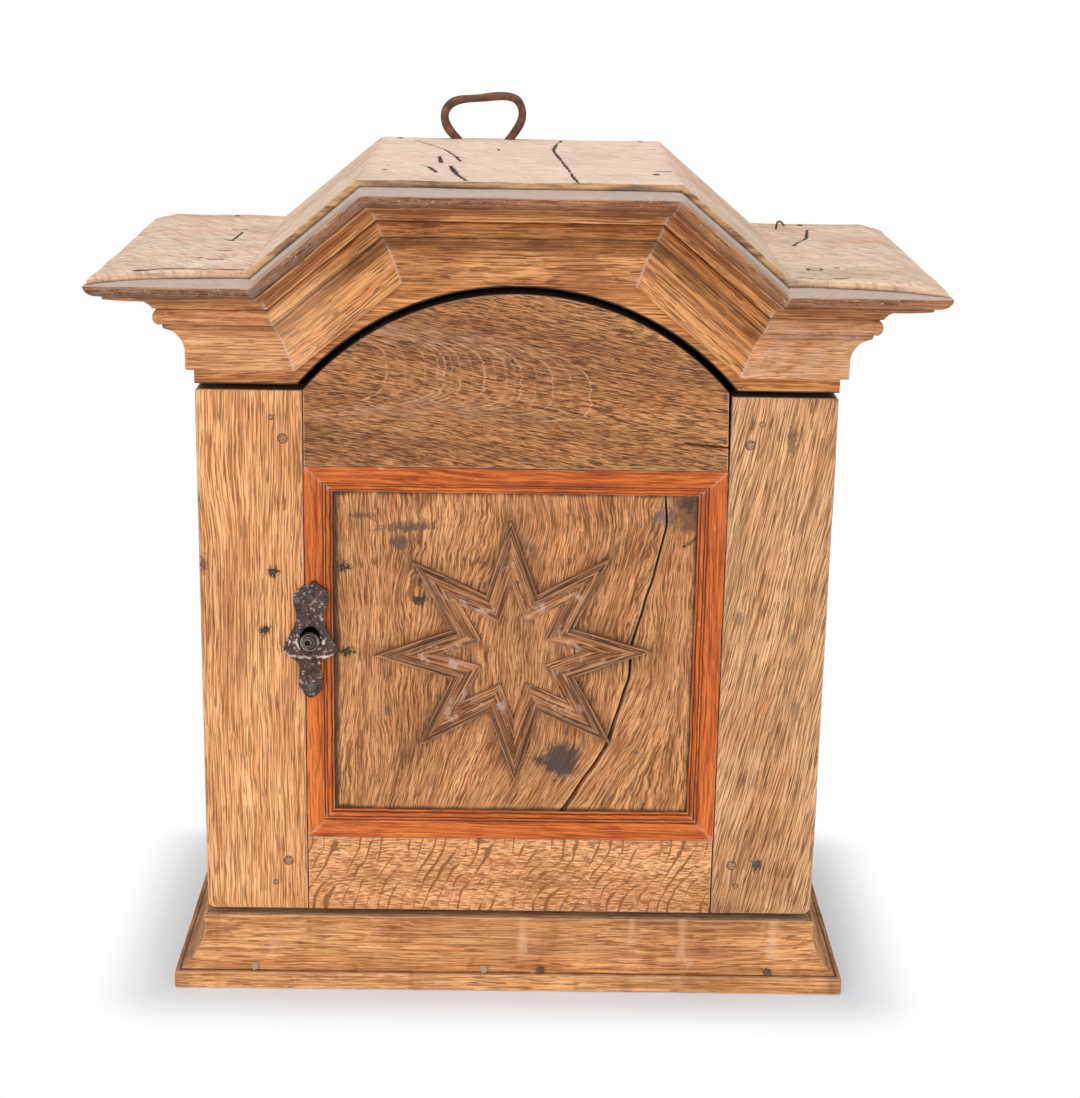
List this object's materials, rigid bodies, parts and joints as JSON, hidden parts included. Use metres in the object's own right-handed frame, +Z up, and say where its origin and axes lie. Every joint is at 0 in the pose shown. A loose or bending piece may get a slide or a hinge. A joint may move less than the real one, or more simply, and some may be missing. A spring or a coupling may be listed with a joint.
{
  "type": "wall cabinet",
  "caption": "Small oak hanging cabinet with a stepped moulded cornice, an arched panel door with an applied star, a keyhole plate and a forged hanging loop.",
  "frame": {"origin": "middle of the bounding box on the plane the plinth stands on", "axes": "+Z up, +Y towards the wall behind the cabinet, +X to the right seen from the front"},
  "size_m": [0.59, 0.301, 0.6497],
  "materials": {
    "door_oak": "old waxed oak, worn",
    "panel_oak": "old waxed oak, worn",
    "star_oak": "old waxed oak, worn",
    "red_moulding": "worn red stain over wood",
    "cornice_oak": "old waxed oak, worn",
    "case_oak": "old waxed oak, worn",
    "plinth_oak": "old waxed oak, worn",
    "roof_board": "old waxed oak, worn",
    "inner_wood": "old waxed oak, worn",
    "peg_wood": "old waxed oak, worn",
    "forged_iron": "dark hand-forged iron",
    "rusty_iron": "rusty hand-forged iron"
  },
  "bodies": {
    "case": {"left_side": "case_oak", "right_side": "case_oak", "bottom_board": "inner_wood", "base_rail": "inner_wood", "back_board_left": "inner_wood", "back_board_middle": "inner_wood", "back_board_right": "inner_wood", "shelf": "inner_wood", "frieze_board": "case_oak", "roof_left_wing": "roof_board", "roof_left_slope": "roof_board", "roof_top": "roof_board", "roof_right_slope": "roof_board", "roof_right_wing": "roof_board", "crown_left_return": "cornice_oak", "crown_left_wing": "cornice_oak", "crown_left_rake": "cornice_oak", "crown_top": "cornice_oak", "crown_right_rake": "cornice_oak", "crown_right_wing": "cornice_oak", "crown_right_return": "cornice_oak", "cove_left_return": "cornice_oak", "cove_left_wing": "cornice_oak", "cove_left_rake": "cornice_oak", "cove_top": "cornice_oak", "cove_right_rake": "cornice_oak", "cove_right_wing": "cornice_oak", "cove_right_return": "cornice_oak", "plinth_front": "plinth_oak", "plinth_left": "plinth_oak", "plinth_right": "plinth_oak", "hanging_loop": "rusty_iron", "hanger_strap": "rusty_iron", "bolt_keeper": "forged_iron", "hinge_case_leaves": "forged_iron", "hinge_pins": "forged_iron", "case_leaf_nails": "forged_iron", "plinth_nails": "rusty_iron", "roof_nails": "rusty_iron"},
    "door": {"door_left_stile": "door_oak", "door_right_stile": "door_oak", "door_top_rail": "door_oak", "door_bottom_rail": "door_oak", "door_panel": "panel_oak", "panel_frame_top": "red_moulding", "panel_frame_bottom": "red_moulding", "panel_frame_left": "red_moulding", "panel_frame_right": "red_moulding", "star_strips": "star_oak", "door_pegs": "peg_wood", "keyhole_plate": "forged_iron", "keyhole_plate_nails": "forged_iron", "hinge_door_leaves": "forged_iron", "door_leaf_nails": "forged_iron", "lock_plate": "forged_iron", "lock_cover": "forged_iron", "lock_nails": "forged_iron", "key_drum": "forged_iron", "lock_spring": "forged_iron"},
    "lock_bolt": {"lock_bolt": "forged_iron"}
  },
  "joints": [
    {"name": "door_hinge", "type": "hinge", "parent": "case", "child": "door", "pos_m": [0.2304, -0.0611, 0.258], "axis": [0, 0, 1], "range_deg": [0, 170]},
    {"name": "bolt_slide", "type": "slide", "parent": "door", "child": "lock_bolt", "axis": [-1, 0, 0], "range_m": [0, 0.012]}
  ]
}
